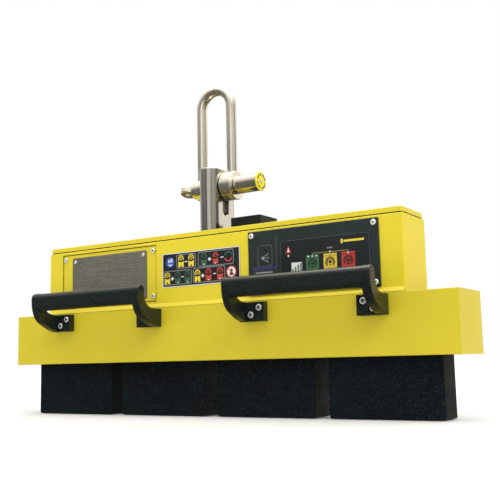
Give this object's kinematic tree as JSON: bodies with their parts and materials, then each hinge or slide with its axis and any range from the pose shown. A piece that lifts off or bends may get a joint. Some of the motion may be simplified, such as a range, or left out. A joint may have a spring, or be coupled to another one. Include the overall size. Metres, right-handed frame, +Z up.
{
  "type": "lifting magnet",
  "caption": "Battery lifting magnet: long steel beam on rectangular pole modules, upper electronics housing with keypad, carrying handles, slotted lug, load pin and shackle.",
  "frame": {"origin": "on the plane of the pole faces, under the middle of the outline", "axes": "+X along the beam to the right as seen from the control side, +Y from the control side to the rear, +Z up to the shackle"},
  "size_m": [0.7, 0.1306, 0.4619],
  "materials": {
    "beam_paint": "yellow powder coat, semi-gloss",
    "housing_paint": "yellow powder coat, semi-gloss",
    "cover_paint": "yellow powder coat, semi-gloss",
    "black_coat": "black textured coat, matt",
    "core_steel": "ground mild steel",
    "copper": "enamelled copper wire",
    "resin": "black potting resin",
    "zinc_screw": "bright zinc",
    "seal_rubber": "black closed-cell rubber",
    "brushed_stainless": "brushed stainless sheet",
    "satin_stainless": "satin-polished stainless",
    "label_black": "printed label film",
    "panel_black": "black panel, fine texture",
    "overlay_film": "black polyester film",
    "key_green": "green printed key",
    "key_yellow": "yellow printed key",
    "key_red": "red printed key",
    "gauge_film": "white printed window",
    "lamp_white": "clear lamp lens",
    "lamp_red": "red lamp lens",
    "black_plastic": "moulded black plastic",
    "board_green": "solder mask",
    "battery_case": "shrink-wrapped cells",
    "zinc_sheet": "zinc-plated sheet",
    "driver_alloy": "die-cast alloy",
    "cap_yellow": "yellow cap",
    "handle_black": "black moulded nylon, fine grain"
  },
  "bodies": {
    "magnet_body": {"beam_housing": "beam_paint", "beam_end_left": "beam_paint", "beam_end_right": "beam_paint", "upper_housing": "housing_paint", "top_cover": "cover_paint", "battery_hatch": "cover_paint", "magnet_jacket_1": "black_coat", "magnet_jacket_2": "black_coat", "magnet_jacket_3": "black_coat", "magnet_jacket_4": "black_coat", "pole_core_1": "core_steel", "pole_core_2": "core_steel", "pole_core_3": "core_steel", "pole_core_4": "core_steel", "yoke_plate": "core_steel", "pole_coil_1": "copper", "pole_coil_2": "copper", "pole_coil_3": "copper", "pole_coil_4": "copper", "pole_potting_1": "resin", "pole_potting_2": "resin", "pole_potting_3": "resin", "pole_potting_4": "resin", "core_bolts": "zinc_screw", "yoke_screws": "zinc_screw", "cover_screws": "zinc_screw", "hatch_screws": "zinc_screw", "rating_plate_screws": "zinc_screw", "panel_screws": "zinc_screw", "handle_screws": "zinc_screw", "lug_fasteners": "zinc_screw", "board_standoffs": "zinc_screw", "cover_gasket": "seal_rubber", "hatch_gasket": "seal_rubber", "rating_plate": "brushed_stainless", "lifting_lug": "satin_stainless", "pictogram_label": "label_black", "control_panel": "panel_black", "keypad_overlay": "overlay_film", "gauge_window": "gauge_film", "status_lamps": "lamp_white", "warning_lamp": "lamp_red", "sounder": "black_plastic", "charge_socket": "black_plastic", "remote_receiver": "black_plastic", "control_board": "board_green", "battery_pack_1": "battery_case", "battery_pack_2": "battery_case", "battery_bracket": "zinc_sheet", "driver_unit": "driver_alloy", "handle_left": "handle_black", "handle_right": "handle_black"},
    "pin_carriage": {"load_pin": "satin_stainless", "sensor_sleeve": "satin_stainless", "sensor_cap": "cap_yellow", "sensor_cap_screw": "zinc_screw"},
    "shackle": {"shackle_bow": "satin_stainless"},
    "green_button": {"key_green": "key_green"},
    "yellow_button": {"key_yellow": "key_yellow"},
    "red_button": {"key_red": "key_red"}
  },
  "joints": [
    {"name": "pin_slide", "type": "slide", "parent": "magnet_body", "child": "pin_carriage", "axis": [0, 0, 1], "range_m": [-0.033, 0]},
    {"name": "shackle_swing", "type": "hinge", "parent": "pin_carriage", "child": "shackle", "pos_m": [0, 0.02715, 0.3135], "axis": [1, 0, 0], "range_deg": [-118, 118]},
    {"name": "green_press", "type": "slide", "parent": "magnet_body", "child": "green_button", "axis": [0, 1, 0], "range_m": [0, 0.0006], "stiffness_N_per_m": 2500},
    {"name": "yellow_press", "type": "slide", "parent": "magnet_body", "child": "yellow_button", "axis": [0, 1, 0], "range_m": [0, 0.0006], "stiffness_N_per_m": 2500},
    {"name": "red_press", "type": "slide", "parent": "magnet_body", "child": "red_button", "axis": [0, 1, 0], "range_m": [0, 0.0006], "stiffness_N_per_m": 2500}
  ]
}
